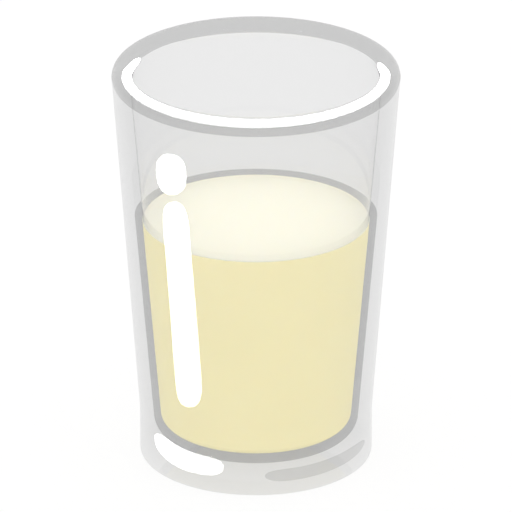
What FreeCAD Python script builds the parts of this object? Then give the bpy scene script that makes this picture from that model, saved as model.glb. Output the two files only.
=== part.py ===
"""A glass of milk: a thick tapered tumbler with an upright heavy foot and a rolled rim, and the
milk that stands in it. Millimetres, +Z up, the origin at the centre of the ring it rests on."""

import FreeCAD
import Part

import math
import os
from types import SimpleNamespace

import Sketcher

# The driving dimensions, which go into the spreadsheet under these names.
SIZES = {
    # outside of the tumbler
    "glass_height": 116.0,
    "rim_radius": 40.0,
    "foot_radius": 32.5,
    "foot_height": 12.5,
    "shoulder_round": 40.0,
    "foot_round": 1.8,
    # the wall, which thickens a little towards the floor, and the solid base under it
    "wall_at_rim": 4.8,
    "wall_at_floor": 6.3,
    "base_thickness": 10.0,
    "floor_round": 2.5,
    # the rolled rim: how far it stands in from the wall, and the sweep below it
    "roll_bulge": 0.8,
    "roll_sweep": 2.5,
    # the shallow hollow under the base
    "hollow_radius": 22.0,
    "hollow_depth": 1.6,
    # the milk
    "milk_level": 70.3,
    "milk_clearance": 0.1,
}

# What follows from them, as expressions on the sheet.
ROLL_RADIUS = "(sizes.wall_at_rim + sizes.roll_bulge) / 2"
ROLL_CENTRE_RADIUS = f"sizes.rim_radius - {ROLL_RADIUS}"
CAVITY_TOP_RADIUS = "sizes.rim_radius - sizes.wall_at_rim"
CAVITY_FLOOR_RADIUS = "sizes.foot_radius - sizes.wall_at_floor"
MILK_FLOOR = "sizes.base_thickness + sizes.milk_clearance"
MILK_FLOOR_ROUND = "sizes.floor_round - sizes.milk_clearance"

START, END, CENTRE = 1, 2, 3  # the ends and the centre of a curve in a sketch
ORIGIN = (-1, START)  # a sketch's own origin
UP_AXIS = -2  # a sketch's own vertical axis
SQUARE = math.pi / 2


def make_sheet(doc):
    """Puts each driving dimension in a cell of its own, with its name as the alias."""
    sheet = doc.addObject("Spreadsheet::Sheet", "sizes")
    for row, (name, value) in enumerate(SIZES.items(), start=1):
        sheet.set(f"A{row}", name)
        sheet.set(f"B{row}", str(value))
        sheet.setAlias(f"B{row}", name)
    doc.recompute()


def new_sketch(body, name):
    """A sketch on the body's own XZ plane: its X is the radius and its Y is the height."""
    plane = next(f for f in body.Origin.OriginFeatures if f.Role == "XZ_Plane")
    sketch = body.newObject("Sketcher::SketchObject", name)
    sketch.AttachmentSupport = [(plane, "")]
    sketch.MapMode = "FlatFace"
    return sketch


def line(sketch, start, end, helper=False):
    """A straight line between two (radius, height) points, as a helper line if asked."""
    ends = [FreeCAD.Vector(*point, 0) for point in (start, end)]
    return sketch.addGeometry(Part.LineSegment(*ends), helper)


def arc(sketch, centre, radius, first_angle, last_angle):
    """An arc that runs anticlockwise between two angles in radians."""
    circle = Part.Circle(FreeCAD.Vector(*centre, 0), FreeCAD.Vector(0, 0, 1), radius)
    return sketch.addGeometry(Part.ArcOfCircle(circle, first_angle, last_angle), False)


def join(sketch, *pairs):
    """Makes each pair of (curve, end) points one point."""
    for first, second in pairs:
        sketch.addConstraint(Sketcher.Constraint("Coincident", *first, *second))


def level(sketch, *curves):
    for curve in curves:
        sketch.addConstraint(Sketcher.Constraint("Horizontal", curve))


def tangent(sketch, first, second):
    """Joins two (curve, end) points so that the curves run on smoothly there."""
    sketch.addConstraint(Sketcher.Constraint("Tangent", *first, *second))


def bind(sketch, constraint, formula):
    """Adds a constraint whose value follows a formula on the sheet."""
    index = sketch.addConstraint(constraint)
    sketch.setExpression(f"Constraints[{index}]", formula)


def radius_is(sketch, point, formula):
    """Holds a point at a distance from the axis."""
    drawn = sketch.getPoint(*point).x
    bind(sketch, Sketcher.Constraint("DistanceX", *ORIGIN, *point, drawn), formula)


def height_is(sketch, point, formula):
    """Holds a point at a height above the resting ring."""
    drawn = sketch.getPoint(*point).y
    bind(sketch, Sketcher.Constraint("DistanceY", *ORIGIN, *point, drawn), formula)


def on_axis(sketch, *points):
    for point in points:
        sketch.addConstraint(Sketcher.Constraint("PointOnObject", *point, UP_AXIS))


def draw_outside(body, size):
    """Half of the section through a tumbler that is not yet hollow."""
    roll = (size.wall_at_rim + size.roll_bulge) / 2
    roll_centre = (size.rim_radius - roll, size.glass_height - roll)
    foot_top = (size.foot_radius, size.foot_height)
    taper = math.atan2(size.rim_radius - size.foot_radius, roll_centre[1] - size.foot_height)
    sketch = new_sketch(body, "OutsideSection")
    base = line(sketch, (0, 0), (size.foot_radius, 0))
    foot = line(sketch, (size.foot_radius, 0), foot_top)
    shoulder_centre = (size.foot_radius + size.shoulder_round, size.foot_height)
    shoulder = arc(sketch, shoulder_centre, size.shoulder_round, math.pi - taper, math.pi)
    wall_start = sketch.getPoint(shoulder, START)
    wall = line(sketch, (wall_start.x, wall_start.y), (size.rim_radius, roll_centre[1]))
    rim = arc(sketch, roll_centre, roll, 0, SQUARE)
    lid = line(sketch, (roll_centre[0], size.glass_height), (0, size.glass_height))
    axis = line(sketch, (0, size.glass_height), (0, 0))
    level(sketch, base, lid)
    sketch.addConstraint(Sketcher.Constraint("Vertical", foot))
    join(sketch, ((base, START), ORIGIN), ((base, END), (foot, START)))
    tangent(sketch, (foot, END), (shoulder, END))
    tangent(sketch, (shoulder, START), (wall, START))
    tangent(sketch, (wall, END), (rim, START))
    tangent(sketch, (rim, END), (lid, START))
    join(sketch, ((lid, END), (axis, START)), ((axis, END), (base, START)))
    on_axis(sketch, (axis, START))
    bind(sketch, Sketcher.Constraint("Radius", rim, roll), ROLL_RADIUS)
    bind(sketch, Sketcher.Constraint("Radius", shoulder, size.shoulder_round), "sizes.shoulder_round")
    radius_is(sketch, (foot, START), "sizes.foot_radius")
    height_is(sketch, (foot, END), "sizes.foot_height")
    radius_is(sketch, (rim, CENTRE), ROLL_CENTRE_RADIUS)
    height_is(sketch, (axis, START), "sizes.glass_height")
    return sketch


def draw_cavity(body, size):
    """Half of the section through the space inside, up to the crown of the rolled rim."""
    roll = (size.wall_at_rim + size.roll_bulge) / 2
    roll_centre = (size.rim_radius - roll, size.glass_height - roll)
    corner = (size.foot_radius - size.wall_at_floor, size.base_thickness)
    mouth = (size.rim_radius - size.wall_at_rim, size.glass_height)
    under_roll = (mouth[0], roll_centre[1] - roll / 2)
    sketch = new_sketch(body, "CavitySection")
    floor = line(sketch, (0, size.base_thickness), corner)
    wall = line(sketch, corner, under_roll)
    reach = line(sketch, under_roll, mouth, helper=True)
    rim = arc(sketch, roll_centre, roll, SQUARE, math.pi + SQUARE / 3)
    lid = line(sketch, (roll_centre[0], size.glass_height), (0, size.glass_height))
    axis = line(sketch, (0, size.glass_height), (0, size.base_thickness))
    level(sketch, floor, lid)
    join(sketch, ((floor, END), (wall, START)), ((wall, END), (rim, END)), ((wall, END), (reach, START)))
    join(sketch, ((rim, START), (lid, START)), ((lid, END), (axis, START)), ((axis, END), (floor, START)))
    on_axis(sketch, (axis, START), (axis, END))
    sketch.addConstraint(Sketcher.Constraint("Parallel", wall, reach))
    bind(sketch, Sketcher.Constraint("Radius", rim, roll), ROLL_RADIUS)
    radius_is(sketch, (rim, CENTRE), ROLL_CENTRE_RADIUS)
    radius_is(sketch, (rim, START), ROLL_CENTRE_RADIUS)
    height_is(sketch, (rim, START), "sizes.glass_height")
    radius_is(sketch, (floor, END), CAVITY_FLOOR_RADIUS)
    height_is(sketch, (floor, END), "sizes.base_thickness")
    radius_is(sketch, (reach, END), CAVITY_TOP_RADIUS)
    height_is(sketch, (reach, END), "sizes.glass_height")
    return sketch


def draw_hollow(body, size):
    """Half of the section through the shallow cap that is missing under the base."""
    ball = (size.hollow_radius**2 + size.hollow_depth**2) / (2 * size.hollow_depth)
    edge_angle = math.acos(size.hollow_radius / ball)
    sketch = new_sketch(body, "HollowSection")
    mouth = line(sketch, (0, 0), (size.hollow_radius, 0))
    cap = arc(sketch, (0, size.hollow_depth - ball), ball, edge_angle, SQUARE)
    axis = line(sketch, (0, size.hollow_depth), (0, 0))
    level(sketch, mouth)
    join(sketch, ((mouth, START), ORIGIN), ((mouth, END), (cap, START)))
    join(sketch, ((cap, END), (axis, START)), ((axis, END), (mouth, START)))
    on_axis(sketch, (axis, START), (cap, CENTRE))
    radius_is(sketch, (mouth, END), "sizes.hollow_radius")
    height_is(sketch, (axis, START), "sizes.hollow_depth")
    return sketch


def draw_milk(body, size):
    """Half of the section through the milk, which keeps its clearance from the cavity's wall."""
    corner = (size.foot_radius - size.wall_at_floor, size.base_thickness)
    mouth = (size.rim_radius - size.wall_at_rim, size.glass_height)
    floor_height = size.base_thickness + size.milk_clearance
    sketch = new_sketch(body, "MilkSection")
    cavity_wall = line(sketch, corner, mouth, helper=True)
    floor = line(sketch, (0, floor_height), (corner[0] - size.milk_clearance, floor_height))
    side = line(sketch, (corner[0] - size.milk_clearance, floor_height), (corner[0], size.milk_level))
    surface = line(sketch, (corner[0], size.milk_level), (0, size.milk_level))
    axis = line(sketch, (0, size.milk_level), (0, floor_height))
    level(sketch, floor, surface)
    join(sketch, ((floor, END), (side, START)), ((side, END), (surface, START)))
    join(sketch, ((surface, END), (axis, START)), ((axis, END), (floor, START)))
    on_axis(sketch, (axis, START), (axis, END))
    radius_is(sketch, (cavity_wall, START), CAVITY_FLOOR_RADIUS)
    height_is(sketch, (cavity_wall, START), "sizes.base_thickness")
    radius_is(sketch, (cavity_wall, END), CAVITY_TOP_RADIUS)
    height_is(sketch, (cavity_wall, END), "sizes.glass_height")
    height_is(sketch, (floor, END), MILK_FLOOR)
    height_is(sketch, (side, END), "sizes.milk_level")
    sketch.addConstraint(Sketcher.Constraint("Parallel", side, cavity_wall))
    gap = Sketcher.Constraint("Distance", side, START, cavity_wall, size.milk_clearance)
    bind(sketch, gap, "sizes.milk_clearance")
    return sketch


def turn(body, kind, sketch):
    """Turns a sketch once round its vertical axis, as a Revolution or a Groove of the body."""
    feature = body.newObject(f"PartDesign::{kind}", f"{sketch.Name}{kind}")
    feature.Profile = sketch
    feature.ReferenceAxis = (sketch, ["V_Axis"])
    feature.Angle = 360
    body.Document.recompute()


def nearest_ring(shape, radius, height):
    """The name of the circular edge round the axis that lies nearest to a radius and a height."""
    misses = {}
    for number, edge in enumerate(shape.Edges, start=1):
        if not edge.Degenerated and edge.isClosed() and isinstance(edge.Curve, Part.Circle):
            misses[math.hypot(edge.Curve.Radius - radius, edge.Curve.Center.z - height)] = number
    return f"Edge{misses[min(misses)]}"


def soften(body, name, radius, height, formula):
    """Rounds the edge that runs round the body at about that radius and height."""
    base = body.Tip
    feature = body.newObject("PartDesign::Fillet", name)
    feature.Base = (base, [nearest_ring(base.Shape, radius, height)])
    feature.setExpression("Radius", formula)
    body.Document.recompute()


def new_body(doc, label):
    body = doc.addObject("PartDesign::Body", label)
    body.Label = label
    body.Placement = FreeCAD.Placement()
    return body


def make_tumbler(doc, size):
    """The glass: a turned blank, hollowed from above and below, with its edges softened."""
    body = new_body(doc, "glass_tumbler")
    turn(body, "Revolution", draw_outside(body, size))
    turn(body, "Groove", draw_cavity(body, size))
    turn(body, "Groove", draw_hollow(body, size))
    roll = (size.wall_at_rim + size.roll_bulge) / 2
    cavity_floor = size.foot_radius - size.wall_at_floor
    cavity_top = size.rim_radius - size.wall_at_rim
    soften(body, "FootEdge", size.foot_radius, 0, "sizes.foot_round")
    soften(body, "FloorCorner", cavity_floor, size.base_thickness, "sizes.floor_round")
    soften(body, "UnderRoll", cavity_top, size.glass_height - 2 * roll, "sizes.roll_sweep")
    return body


def make_milk(doc, size):
    """The milk: up to its level, with a rounded lower edge like the cavity's."""
    body = new_body(doc, "milk")
    turn(body, "Revolution", draw_milk(body, size))
    cavity_floor = size.foot_radius - size.wall_at_floor
    soften(body, "LowerEdge", cavity_floor, size.base_thickness, MILK_FLOOR_ROUND)
    return body


def check(doc, bodies):
    """Stops if any object failed to recompute or any sub-part is not one sound solid."""
    for thing in doc.Objects:
        if {"Invalid", "Error"} & set(thing.State):
            raise RuntimeError(f"{thing.Name} did not recompute: {thing.State}")
    for body in bodies:
        shape = body.Shape
        if shape.isNull() or not shape.isValid() or len(shape.Solids) != 1:
            raise RuntimeError(f"{body.Label} is not one sound solid")
        box = shape.optimalBoundingBox()
        print(body.Label, "volume", round(shape.Volume), "mm3, up to", round(box.ZMax, 2), "mm high")


def main():
    doc = FreeCAD.newDocument("glass_of_milk")
    make_sheet(doc)
    size = SimpleNamespace(**SIZES)
    bodies = [make_tumbler(doc, size), make_milk(doc, size)]
    doc.recompute()
    check(doc, bodies)
    os.makedirs("parts", exist_ok=True)
    for body in bodies:
        body.Shape.exportStep(f"parts/{body.Label}.step")


main()
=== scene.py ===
import math

import bpy
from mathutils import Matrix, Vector


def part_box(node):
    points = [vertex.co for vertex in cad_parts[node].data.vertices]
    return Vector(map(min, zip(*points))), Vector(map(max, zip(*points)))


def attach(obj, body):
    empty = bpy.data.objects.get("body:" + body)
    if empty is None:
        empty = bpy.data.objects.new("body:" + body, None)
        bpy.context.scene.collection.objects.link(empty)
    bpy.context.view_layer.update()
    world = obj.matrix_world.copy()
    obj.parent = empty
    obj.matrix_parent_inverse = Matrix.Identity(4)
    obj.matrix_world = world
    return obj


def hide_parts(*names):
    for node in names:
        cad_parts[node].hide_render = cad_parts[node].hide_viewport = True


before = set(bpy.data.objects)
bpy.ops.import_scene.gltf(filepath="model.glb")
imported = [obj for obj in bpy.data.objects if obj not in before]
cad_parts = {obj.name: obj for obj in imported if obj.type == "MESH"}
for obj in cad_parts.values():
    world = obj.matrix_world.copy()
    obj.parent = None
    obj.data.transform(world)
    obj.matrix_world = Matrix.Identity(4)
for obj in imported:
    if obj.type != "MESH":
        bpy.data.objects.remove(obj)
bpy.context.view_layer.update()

# Glass of milk: a thick tapered tumbler and the milk that stands in it.
# Metres, Z up, the axis of the glass is the Z axis. Outer sizes come from the frame.

glassLow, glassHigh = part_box("glass_tumbler")
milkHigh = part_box("milk")[1]


# ---- shared helpers

endShare = 0.02                # the extra points near both ends of a straight run
mergeDistance = 0.000002
smoothAngle = math.radians(30)
waveDetail = 1.0


def arcPoints(centreX, centreZ, radius, firstAngle, lastAngle, steps):
    # points along an arc in the XZ plane, both ends included, angles in degrees
    points = []
    for i in range(steps + 1):
        angle = math.radians(firstAngle + (lastAngle - firstAngle) * i / steps)
        points.append((centreX + radius * math.cos(angle), centreZ + radius * math.sin(angle)))
    return points


def straightRun(first, last, steps=3):
    # inner points of a straight run, two of them close to its ends so that its shading stays flat
    shares = [endShare] + [i / steps for i in range(1, steps)] + [1 - endShare]
    return [(first[0] + (last[0] - first[0]) * share, first[1] + (last[1] - first[1]) * share)
            for share in shares]


def joinRuns(*runs):
    # one outline from several arcs, each joined to the next by a straight run
    outline = list(runs[0])
    for run in runs[1:]:
        outline += straightRun(outline[-1], run[0])
        outline += run
    return outline


def turnOutline(name, outline, steps):
    # a plane is merged to one vertex, which is extruded along half of the section and spun round the axis
    bpy.ops.object.select_all(action="DESELECT")
    startX, startZ = outline[0]
    bpy.ops.mesh.primitive_plane_add(size=0.001, location=(0, 0, 0))
    piece = bpy.context.object
    piece.name = name
    piece.data.name = name
    bpy.ops.object.mode_set(mode="EDIT")
    bpy.ops.mesh.select_mode(type="VERT")
    bpy.ops.mesh.select_all(action="SELECT")
    bpy.ops.mesh.merge(type="CENTER")
    bpy.ops.transform.translate(value=(startX, 0, startZ))
    for (lastX, lastZ), (nextX, nextZ) in zip(outline, outline[1:]):
        bpy.ops.mesh.extrude_vertices_move(
            TRANSFORM_OT_translate={"value": (nextX - lastX, 0, nextZ - lastZ)})
    bpy.ops.mesh.select_all(action="SELECT")
    bpy.ops.mesh.spin(steps=steps, angle=math.tau, center=(0, 0, 0), axis=(0, 0, 1))
    bpy.ops.mesh.select_all(action="SELECT")
    bpy.ops.mesh.remove_doubles(threshold=mergeDistance)
    bpy.ops.mesh.normals_make_consistent(inside=False)
    bpy.ops.object.mode_set(mode="OBJECT")
    bpy.ops.object.shade_smooth_by_angle(angle=smoothAngle)
    return piece


def newMaterial(name):
    material = bpy.data.materials.new(name)
    material.use_nodes = True
    tree = material.node_tree
    tree.nodes.clear()
    output = tree.nodes.new("ShaderNodeOutputMaterial")
    return material, tree, output


def addNode(tree, kind, **values):
    # a node with its plain input values set by name
    node = tree.nodes.new(kind)
    for name, value in values.items():
        node.inputs[name.replace("_", " ")].default_value = value
    return node


# ---- the glass

glassSizes = {
    "footRadius": 0.0325,
    "footHeight": 0.0125,
    "shoulderRound": 0.040,
    "footRound": 0.0018,
    "wallAtRim": 0.0048,
    "wallAtFloor": 0.0063,
    "baseThickness": 0.010,
    "floorRound": 0.0025,
    "rollBulge": 0.0008,
    "hollowRadius": 0.022,
    "hollowDepth": 0.0016,
    "rimEnd": 205,             # degrees round the roll at which it goes over into the inner wall
    "underRoll": 0.0025,       # the height in which it does so
    "hollowSteps": 14,
    "footSteps": 10,
    "shoulderSteps": 8,
    "rimSteps": 44,
    "cornerSteps": 12,
    "turns": 256,
}


def rimRoll(sizes):
    # radius of the rolled rim, and the place of its centre
    roll = (sizes["wallAtRim"] + sizes["rollBulge"]) / 2
    return roll, glassHigh.x - roll, glassHigh.z - roll


def innerWall(height, sizes):
    # radius of the inside of the glass at a height, and how far the inside leans outwards
    mouthX = glassHigh.x - sizes["wallAtRim"]
    floorX = sizes["footRadius"] - sizes["wallAtFloor"]
    lean = math.atan2(mouthX - floorX, glassHigh.z - sizes["baseThickness"])
    return floorX + (height - sizes["baseThickness"]) * math.tan(lean), lean


def tumblerOutline(sizes):
    roll, rollX, rollZ = rimRoll(sizes)
    # the shallow cap under the base
    ball = (sizes["hollowRadius"] ** 2 + sizes["hollowDepth"] ** 2) / (2 * sizes["hollowDepth"])
    edge = math.degrees(math.acos(sizes["hollowRadius"] / ball))
    hollow = arcPoints(0, sizes["hollowDepth"] - ball, ball, 90, edge, sizes["hollowSteps"])
    hollow[0] = (0, sizes["hollowDepth"])
    # the foot with its rounded lower edge
    footRound = sizes["footRound"]
    foot = arcPoints(sizes["footRadius"] - footRound, footRound, footRound, -90, 0, sizes["footSteps"])
    # the shoulder, tangent to the foot and to the tapered wall
    taper = math.degrees(math.atan2(glassHigh.x - sizes["footRadius"], rollZ - sizes["footHeight"]))
    shoulder = arcPoints(sizes["footRadius"] + sizes["shoulderRound"], sizes["footHeight"],
                         sizes["shoulderRound"], 180, 180 - taper, sizes["shoulderSteps"])
    # the rolled rim, over the top and down inside
    rim = arcPoints(rollX, rollZ, roll, -taper, sizes["rimEnd"], sizes["rimSteps"])
    # the inner wall and the rounded corner of the floor
    underRoll = rim[-1][1] - sizes["underRoll"]
    cornerRound = sizes["floorRound"]
    cornerZ = sizes["baseThickness"] + cornerRound
    cornerWall, lean = innerWall(cornerZ, sizes)
    inside = [(innerWall(underRoll, sizes)[0], underRoll)]
    corner = arcPoints(cornerWall - cornerRound / math.cos(lean), cornerZ, cornerRound,
                       -math.degrees(lean), -90, sizes["cornerSteps"])
    return joinRuns(hollow, foot, shoulder, rim) + joinRuns(inside, corner, [(0, sizes["baseThickness"])])


glassLook = {
    "wallTint": (0.93, 0.93, 0.93, 1),
    "bend": 1.004,
    "coatBend": 1.5,
    "coatRoughness": 0.01,
    "waveSize": 18.0,          # waves per metre on the polished surface
    "waveStrength": 0.04,
    "waveDepth": 0.0004,
    "absorb": 4.0,
    "absorbColor": (0.0, 0.0, 0.0, 1),
    "shadowTint": (0.97, 0.97, 0.97, 1),
}


def colorMix(tree, factor, first, second):
    # between two plain colours by a factor that nodes give
    mix = tree.nodes.new("ShaderNodeMix")
    mix.data_type = "RGBA"
    mix.inputs["A"].default_value = first
    mix.inputs["B"].default_value = second
    tree.links.new(factor, mix.inputs["Factor"])
    return mix.outputs["Result"]


def surfaceWave(tree, size, strength, depth):
    # a slow unevenness of the surface
    place = tree.nodes.new("ShaderNodeTexCoord")
    noise = addNode(tree, "ShaderNodeTexNoise", Scale=size, Detail=waveDetail)
    bump = addNode(tree, "ShaderNodeBump", Strength=strength, Distance=depth)
    tree.links.new(place.outputs["Object"], noise.inputs["Vector"])
    tree.links.new(noise.outputs["Fac"], bump.inputs["Height"])
    return bump.outputs["Normal"]


def glassMaterial(look):
    material, tree, output = newMaterial("clearGlass")
    glass = addNode(tree, "ShaderNodeBsdfPrincipled", Base_Color=look["wallTint"], Roughness=0.0,
                    IOR=look["bend"], Transmission_Weight=1.0, Coat_Weight=1.0, Coat_IOR=look["coatBend"],
                    Coat_Roughness=look["coatRoughness"])
    wave = surfaceWave(tree, look["waveSize"], look["waveStrength"], look["waveDepth"])
    tree.links.new(wave, glass.inputs["Normal"])
    tree.links.new(wave, glass.inputs["Coat Normal"])
    absorb = addNode(tree, "ShaderNodeVolumeAbsorption", Color=look["absorbColor"],
                     Density=look["absorb"])
    clear = addNode(tree, "ShaderNodeBsdfTransparent", Color=look["shadowTint"])
    mix = tree.nodes.new("ShaderNodeMixShader")
    path = tree.nodes.new("ShaderNodeLightPath")
    tree.links.new(path.outputs["Is Shadow Ray"], mix.inputs[0])
    tree.links.new(glass.outputs[0], mix.inputs[1])
    tree.links.new(clear.outputs[0], mix.inputs[2])
    tree.links.new(mix.outputs[0], output.inputs["Surface"])
    tree.links.new(absorb.outputs[0], output.inputs["Volume"])
    return material


def paintedShadeMaterial(name, tint):
    # painted shade: a clear layer inside the glass that darkens what is seen through it, but not the light
    # that passes
    material, tree, output = newMaterial(name)
    clear = addNode(tree, "ShaderNodeBsdfTransparent", Color=tint)
    tree.links.new(clear.outputs[0], output.inputs["Surface"])
    return material


tumbler = turnOutline("tumbler", tumblerOutline(glassSizes), glassSizes["turns"])
tumbler.data.materials.append(glassMaterial(glassLook))
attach(tumbler, "root")
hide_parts("glass_tumbler")
print("tumbler done", len(tumbler.data.polygons), "faces")


# ---- painted shade of the rolled rim: a grey clear core inside the roll

rimShadeLayer = {
    "inset": 0.00005,
    "outerHalf": 61.0,         # degrees above and below level in which it follows the roll
    "noseReach": 0.0025,       # how far it tapers towards the mouth
    "noseRound": 0.0006,
    "noseFrom": 100,           # degrees between which its rounded tip runs
    "noseTo": 260,
    # the grey of the painted rim shade
    "tint": (0.84, 0.84, 0.84, 1),
    "steps": 16,
    "turns": 192,
}


def buildRimShade(sizes, glass):
    roll, rollX, rollZ = rimRoll(glass)
    outer = arcPoints(rollX, rollZ, roll - sizes["inset"], -sizes["outerHalf"], sizes["outerHalf"],
                      sizes["steps"])
    nose = arcPoints(rollX - sizes["noseReach"] + sizes["noseRound"], rollZ, sizes["noseRound"],
                     sizes["noseFrom"], sizes["noseTo"], sizes["steps"])
    piece = turnOutline("rimShadeCore", outer + nose + [outer[0]], sizes["turns"])
    piece.data.materials.append(paintedShadeMaterial("rimPaintedShade", sizes["tint"]))
    # painted shade: it darkens the rim as seen, not the light
    piece.visible_diffuse = False
    piece.visible_shadow = False
    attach(piece, "root")
    print("rim core done", len(piece.data.polygons), "faces")


buildRimShade(rimShadeLayer, glassSizes)


# ---- the milk

milkSizes = {
    "reach": 0.00015,          # how far it goes into the wall and the floor
    "meniscusHeight": 0.0003,
    "meniscusWidth": 0.0009,
    "meniscusReach": 5,        # how many widths from the wall it is followed
    "meniscusEase": 1.6,       # its points lie closer together near the wall
    "meniscusSteps": 18,
    "turns": 256,
}


def milkOutline(sizes, glass):
    level = milkHigh.z
    floorZ = glass["baseThickness"] - sizes["reach"]
    cornerRound = glass["floorRound"]
    cornerZ = floorZ + cornerRound
    cornerWall, lean = innerWall(cornerZ, glass)
    corner = arcPoints(cornerWall + sizes["reach"] - cornerRound / math.cos(lean), cornerZ,
                       cornerRound, -90, -math.degrees(lean), glass["cornerSteps"])
    topZ = level + sizes["meniscusHeight"]
    edge = innerWall(topZ, glass)[0] + sizes["reach"]
    meniscus = [(edge, topZ)]
    width = sizes["meniscusWidth"]
    steps = sizes["meniscusSteps"]
    for i in range(1, steps + 1):
        away = width * sizes["meniscusReach"] * (i / steps) ** sizes["meniscusEase"]
        meniscus.append((edge - away, level + sizes["meniscusHeight"] * math.exp(-away / width)))
    return joinRuns([(0, floorZ)], corner, meniscus, [(0, level)])


milkLook = {
    # painted light: side and top are the same milk; the side is painted darker and yellower, the top paler
    # as if lit
    "side": (0.85, 0.785, 0.485, 1),
    "sideDeep": (0.83, 0.76, 0.46, 1),
    "top": (0.865, 0.845, 0.70, 1),
    "topDeep": (0.85, 0.825, 0.675, 1),
    "sideRoughness": 0.6,
    "topRoughness": 0.22,
    "sideShine": 0.0,          # the side lies against the glass and has no gloss of its own
    "topShine": 0.5,
    "topFacing": 0.1,          # faces that look up by more than this are the top
    "cloudSize": 45.0,         # clouds per metre in the milk's tint
    "cloudDetail": 3.0,
    "waveSize": 60.0,
    "waveStrength": 0.05,
    "waveDepth": 0.0002,
    "subsurface": 0.25,
    "subsurfaceScale": 0.0012,
    "subsurfaceRadius": (1.0, 0.8, 0.5),
    "bend": 1.35,
}


def milkMaterial(name, part, look):
    # part is "side" or "top": lit and shaded copies of the same milk, the top painted paler, the side
    # darker and yellower
    material, tree, output = newMaterial(name)
    milk = addNode(tree, "ShaderNodeBsdfPrincipled", Roughness=look[part + "Roughness"],
                   IOR=look["bend"], Specular_IOR_Level=look[part + "Shine"],
                   Subsurface_Weight=look["subsurface"], Subsurface_Scale=look["subsurfaceScale"])
    milk.inputs["Subsurface Radius"].default_value = look["subsurfaceRadius"]
    place = tree.nodes.new("ShaderNodeTexCoord")
    clouds = addNode(tree, "ShaderNodeTexNoise", Scale=look["cloudSize"], Detail=look["cloudDetail"])
    tree.links.new(place.outputs["Object"], clouds.inputs["Vector"])
    tint = colorMix(tree, clouds.outputs["Fac"], look[part], look[part + "Deep"])
    tree.links.new(tint, milk.inputs["Base Color"])
    wave = surfaceWave(tree, look["waveSize"], look["waveStrength"], look["waveDepth"])
    tree.links.new(wave, milk.inputs["Normal"])
    tree.links.new(milk.outputs[0], output.inputs["Surface"])
    return material


milk = turnOutline("milkBody", milkOutline(milkSizes, glassSizes), milkSizes["turns"])
milk.data.materials.append(milkMaterial("milkSidePaintedShaded", "side", milkLook))
milk.data.materials.append(milkMaterial("milkTopPaintedLit", "top", milkLook))
# the faces that look up get the paler, painted lit top
for face in milk.data.polygons:
    if face.normal.z > milkLook["topFacing"]:
        face.material_index = 1
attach(milk, "root")
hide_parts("milk")
print("milk done", len(milk.data.polygons), "faces")


# ---- painted shade: a grey clear layer round the milk, inside the glass, that darkens the milk's edge as seen

milkEdgeShadeSizes = {
    "thickness": 0.00215,
    "below": 0.0030,
    "aboveInside": 0.0003,     # its upper edge over the milk's level, next to the milk
    "aboveOutside": 0.0012,
    "inside": 0.00005,         # its upper inner edge keeps this far inside the glass
    "hidden": 0.003,           # how far its inner faces stay inside the milk
    "cornerRound": 0.0046,
    # the grey of the painted shade round the milk
    "tint": (0.80, 0.80, 0.80, 1),
    "turns": 192,
}


def milkEdgeShadeOutline(sizes, glass):
    level = milkHigh.z
    floorZ = glass["baseThickness"] - sizes["below"]
    cornerZ = floorZ + sizes["cornerRound"]
    cornerWall, lean = innerWall(cornerZ, glass)
    corner = arcPoints(cornerWall + sizes["thickness"] - sizes["cornerRound"] / math.cos(lean), cornerZ,
                       sizes["cornerRound"], -90, -math.degrees(lean), glass["cornerSteps"])
    outsideZ = level + sizes["aboveOutside"]
    insideZ = level + sizes["aboveInside"]
    outside = (innerWall(outsideZ, glass)[0] + sizes["thickness"], outsideZ)
    inside = (innerWall(insideZ, glass)[0] + sizes["inside"], insideZ)
    under = (innerWall(level, glass)[0] - sizes["hidden"], level - sizes["hidden"])
    return joinRuns([(0, floorZ)], corner, [outside]) + [inside, under, (0, under[1])]


milkEdgeShade = turnOutline("milkEdgeShadeLayer", milkEdgeShadeOutline(milkEdgeShadeSizes, glassSizes), milkEdgeShadeSizes["turns"])
milkEdgeShade.data.materials.append(paintedShadeMaterial("milkEdgePaintedShade", milkEdgeShadeSizes["tint"]))
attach(milkEdgeShade, "root")
# painted shade: it darkens what is seen, not the light
milkEdgeShade.visible_diffuse = False
milkEdgeShade.visible_shadow = False
print("layer round the milk done", len(milkEdgeShade.data.polygons), "faces")


# ---- floor, light and camera

studio = {
    "floorRadius": 6.0,
    "floorDrop": 0.0001,
    "floorCorners": 96,
    "floorColor": (0.10, 0.10, 0.10, 1),
    "floorRoughness": 0.9,
    "floorGlow": 0.89,
    "floorThroughGlass": 0.8,  # painted shade: the same table glows less where it is seen through the glass, which greys the glass
    "skyHorizon": 2.3,
    "skyZenith": 0.6,
    "fillStrength": 0.3,       # extra light from the camera's side
    "glossStrength": 0.87,     # what mirror-like surfaces see instead of the sky
    "cameraDistance": 3.0,
    "cameraElevation": 23.0,
    "frameWidth": 0.1427,
    "aimHeight": 0.0591,
    "clipEnd": 100,
}


def mathNode(tree, operation, first, second):
    # each side is a socket or a plain number
    node = tree.nodes.new("ShaderNodeMath")
    node.operation = operation
    for socket, value in zip(node.inputs, (first, second)):
        if isinstance(value, (int, float)):
            socket.default_value = value
        else:
            tree.links.new(value, socket)
    return node.outputs[0]


def directRay(tree, kind):
    # 1 for rays of this kind on the way to the eye, 0 for those that light a dull surface
    path = tree.nodes.new("ShaderNodeLightPath")
    direct = mathNode(tree, "LESS_THAN", path.outputs["Diffuse Depth"], 0.5)
    return mathNode(tree, "MULTIPLY", path.outputs[kind], direct)


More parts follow.
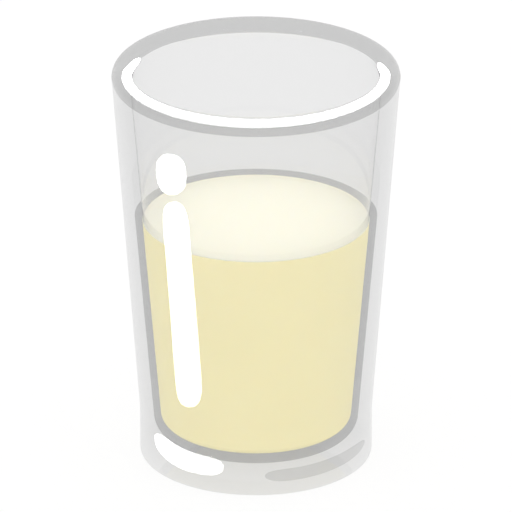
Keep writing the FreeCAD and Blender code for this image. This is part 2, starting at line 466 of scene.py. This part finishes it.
def buildFloor(setup):
    bpy.ops.object.select_all(action="DESELECT")
    bpy.ops.mesh.primitive_circle_add(vertices=setup["floorCorners"], radius=setup["floorRadius"],
                                      fill_type="NGON", location=(0, 0, glassLow.z - setup["floorDrop"]))
    floor = bpy.context.object
    floor.name = "studioFloor"
    material, tree, output = newMaterial("lightTable")
    paint = addNode(tree, "ShaderNodeBsdfPrincipled", Base_Color=setup["floorColor"],
                    Roughness=setup["floorRoughness"], Specular_IOR_Level=0.0, Emission_Color=(1, 1, 1, 1))
    # painted shade: the table glows less on rays that come to it through the glass
    through = directRay(tree, "Is Transmission Ray")
    paintedGlassShade = mathNode(tree, "MULTIPLY", through, setup["floorGlow"] - setup["floorThroughGlass"])
    tree.links.new(mathNode(tree, "SUBTRACT", setup["floorGlow"], paintedGlassShade), paint.inputs["Emission Strength"])
    tree.links.new(paint.outputs[0], output.inputs["Surface"])
    floor.data.materials.append(material)
    floor.visible_glossy = False


def buildSky(setup):
    world = bpy.data.worlds.new("studioSky")
    bpy.context.scene.world = world
    world.use_nodes = True
    tree = world.node_tree
    tree.nodes.clear()
    output = tree.nodes.new("ShaderNodeOutputWorld")
    place = tree.nodes.new("ShaderNodeTexCoord")
    split = tree.nodes.new("ShaderNodeSeparateXYZ")
    tree.links.new(place.outputs["Generated"], split.inputs[0])
    dome = addNode(tree, "ShaderNodeMapRange", From_Min=0.0, From_Max=1.0,
                   To_Min=setup["skyHorizon"], To_Max=setup["skyZenith"])
    tree.links.new(split.outputs["Z"], dome.inputs["Value"])
    fill = addNode(tree, "ShaderNodeMapRange", From_Min=-1.0, From_Max=0.0,
                   To_Min=setup["fillStrength"], To_Max=0.0)
    tree.links.new(split.outputs["Y"], fill.inputs["Value"])
    sky = addNode(tree, "ShaderNodeBackground", Color=(1, 1, 1, 1))
    strength = mathNode(tree, "ADD", dome.outputs["Result"], fill.outputs["Result"])
    tree.links.new(strength, sky.inputs["Strength"])
    gloss = addNode(tree, "ShaderNodeBackground", Color=(1, 1, 1, 1), Strength=setup["glossStrength"])
    mix = tree.nodes.new("ShaderNodeMixShader")
    tree.links.new(directRay(tree, "Is Glossy Ray"), mix.inputs[0])
    tree.links.new(sky.outputs[0], mix.inputs[1])
    tree.links.new(gloss.outputs[0], mix.inputs[2])
    tree.links.new(mix.outputs[0], output.inputs["Surface"])


def buildCamera(setup):
    data = bpy.data.cameras.new("studioCamera")
    camera = bpy.data.objects.new("studioCamera", data)
    bpy.context.scene.collection.objects.link(camera)
    rise = math.radians(setup["cameraElevation"])
    back = Vector((0, -math.cos(rise), math.sin(rise)))
    aim = Vector((0, 0, setup["aimHeight"]))
    camera.location = aim + back * setup["cameraDistance"]
    camera.rotation_euler = (-back).to_track_quat("-Z", "Y").to_euler()
    data.lens = data.sensor_width * setup["cameraDistance"] / setup["frameWidth"]
    data.clip_end = setup["clipEnd"]
    bpy.context.scene.camera = camera
    return Vector(camera.location)


# ---- fixed cards that light the gloss only; the glass mirrors each to the camera's first place

cards = {
    # mirrored in the wall; path: angle round the glass from the front to the left, in degrees, and
    # height, where the reflection is on the wall; gap: how far off the wall the card hangs
    "streak": {"path": ((33.5, 0.0251), (34.8, 0.0570), (36.7, 0.0882)), "halfWidth": 0.0045,
               "squareness": 14, "gap": 0.05, "power": 16.0},
    "blob": {"path": ((36.7, 0.0902), (37.4, 0.0964), (38.0, 0.1025)), "halfWidth": 0.0053,
             "squareness": 2.8, "gap": 0.05, "power": 16.0},
    "footLight": {"path": ((60.5, 0.0112), (36.5, 0.0068), (16.0, 0.0089)), "halfWidth": 0.0031,
                  "squareness": 4.5, "gap": 0.004, "power": 12.0},
    # this one lies on the floor and is seen through the foot
    "footShade": {"path": ((-4.4, 0.0065), (-30.0, 0.0060), (-68.0, 0.0080)), "halfWidth": 0.0019,
                  "squareness": 6, "tint": (0.80, 0.80, 0.80, 1)},
    # mirrored in the lip; ends of the arc, and the shares of the lip's width between which it runs,
    # each at the sides and in front
    "lipArc": {"angles": (-102.0, 111.0), "inner": (1.15, 0.78), "outer": (0.42, -0.10), "limit": 0.97,
               "easing": 0.55, "squareness": 40, "gap": 0.0008, "power": 14.0},
}

shadeHeight = -0.00005         # between the floor and the glass
cardColumns = 96
cardRows = 8


def bounce(spot, normal, eye):
    # the direction in which an eye that looks at this spot sees the surroundings mirrored
    view = (eye - spot).normalized()
    return 2 * normal.dot(view) * normal - view


def outerWall(height, sizes):
    # radius of the outside of the glass at a height, and how far the outside leans outwards
    rollZ = rimRoll(sizes)[2]
    taper = math.atan2(glassHigh.x - sizes["footRadius"], rollZ - sizes["footHeight"])
    above = max(height - sizes["footHeight"], 0)
    if above > sizes["shoulderRound"] * math.sin(taper):
        return sizes["footRadius"] + above * math.tan(taper), taper
    lean = math.asin(above / sizes["shoulderRound"])
    return sizes["footRadius"] + sizes["shoulderRound"] * (1 - math.cos(lean)), lean


def wallMirror(angle, height, gap, eye):
    # where a card has to lie to be mirrored at this place on the outer wall
    radius, lean = outerWall(height, glassSizes)
    turn = math.radians(angle)
    outward = Vector((-math.sin(turn), -math.cos(turn), 0))
    spot = outward * radius + Vector((0, 0, height))
    ray = bounce(spot, outward * math.cos(lean) - Vector((0, 0, math.sin(lean))), eye)
    return spot + ray * gap


def wallThrough(angle, height, eye):
    # where the sight line through this place on the outer wall meets the floor
    radius = outerWall(height, glassSizes)[0]
    turn = math.radians(angle)
    spot = Vector((-math.sin(turn) * radius, -math.cos(turn) * radius, height))
    sight = spot - eye
    return spot + sight * ((height - shadeHeight) / -sight.z)


def lipMirror(angle, share, gap, eye):
    # the same for the rolled lip; share runs across the visible half of the roll, 1 is its inner edge
    roll, rollX, rollZ = rimRoll(glassSizes)
    turn = math.radians(angle)
    outward = Vector((-math.sin(turn), -math.cos(turn), 0))
    centre = outward * rollX + Vector((0, 0, rollZ))
    view = (eye - centre).normalized()
    middle = math.atan2(view.z, view.dot(outward))
    around = middle + math.asin(share)
    normal = outward * math.cos(around) + Vector((0, 0, math.sin(around)))
    spot = centre + normal * roll
    ray = bounce(spot, normal, eye)
    return spot + ray * gap


def wallCardPoint(card, along, across, eye):
    # along runs -1..1 on the card's curved middle line, across -1..1 from side to side
    share = (along + 1) / 2
    first, middle, last = (Vector(point) for point in card["path"])
    angle, height = first * (1 - share) ** 2 + middle * 2 * share * (1 - share) + last * share ** 2
    perDegree = math.radians(1) * outerWall(height, glassSizes)[0]
    ahead = (middle - first) * (1 - share) + (last - middle) * share
    ahead = Vector((ahead.x * perDegree, ahead.y)).normalized()
    width = across * card["halfWidth"] * math.sqrt(1 - min(abs(along), 1) ** card["squareness"])
    # sideways is taken level as the camera sees it
    sink = math.tan(math.radians(studio["cameraElevation"])) * math.sin(math.radians(angle))
    angle -= ahead.y * width / perDegree
    height += ahead.x * width + ahead.y * width * sink
    if "tint" in card:
        return wallThrough(angle, height, eye)
    return wallMirror(angle, height, card["gap"], eye)


def lipCardPoint(card, along, across, eye):
    first, last = card["angles"]
    angle = first + (last - first) * (along + 1) / 2
    front = max(math.cos(math.radians(angle)), 0) ** card["easing"]
    inner, outer = [side + (ahead - side) * front for side, ahead in (card["inner"], card["outer"])]
    inner = min(inner, card["limit"])
    width = math.sqrt(1 - min(abs(along), 1) ** card["squareness"])
    share = (inner + outer) / 2 + across * width * (inner - outer) / 2
    return lipMirror(angle, share, card["gap"], eye)


def buildCard(name, card, eye):
    bpy.ops.object.select_all(action="DESELECT")
    bpy.ops.mesh.primitive_grid_add(x_subdivisions=cardColumns, y_subdivisions=cardRows, size=2,
                                    location=(0, 0, 0))
    piece = bpy.context.object
    piece.name = name
    cardPoint = lipCardPoint if "angles" in card else wallCardPoint
    for vertex in piece.data.vertices:
        along = math.sin(vertex.co.x * math.pi / 2)
        vertex.co = cardPoint(card, along, vertex.co.y, eye)
    material, tree, output = newMaterial(name + "Look")
    if "tint" in card:
        shader = addNode(tree, "ShaderNodeBsdfTransparent", Color=card["tint"])
    else:
        # it glows on the side that looks at the glass and is clear from behind
        clear = addNode(tree, "ShaderNodeBsdfTransparent", Color=(1, 1, 1, 1))
        glow = addNode(tree, "ShaderNodeEmission", Color=(1, 1, 1, 1), Strength=card["power"])
        side = tree.nodes.new("ShaderNodeNewGeometry")
        front = mathNode(tree, "SUBTRACT", 1.0, side.outputs["Backfacing"])
        shader = tree.nodes.new("ShaderNodeMixShader")
        lit = mathNode(tree, "MULTIPLY", directRay(tree, "Is Glossy Ray"), front)
        tree.links.new(lit, shader.inputs[0])
        tree.links.new(clear.outputs[0], shader.inputs[1])
        tree.links.new(glow.outputs[0], shader.inputs[2])
    tree.links.new(shader.outputs[0], output.inputs["Surface"])
    piece.data.materials.append(material)
    piece.visible_camera = False
    piece.visible_diffuse = False
    piece.visible_glossy = "power" in card
    piece.visible_transmission = "tint" in card
    piece.visible_shadow = False
    piece.visible_volume_scatter = False


buildFloor(studio)
buildSky(studio)
eye = buildCamera(studio)
for name, card in cards.items():
    buildCard(name, card, eye)
bpy.context.scene.view_settings.view_transform = "Standard"
print("studio done")
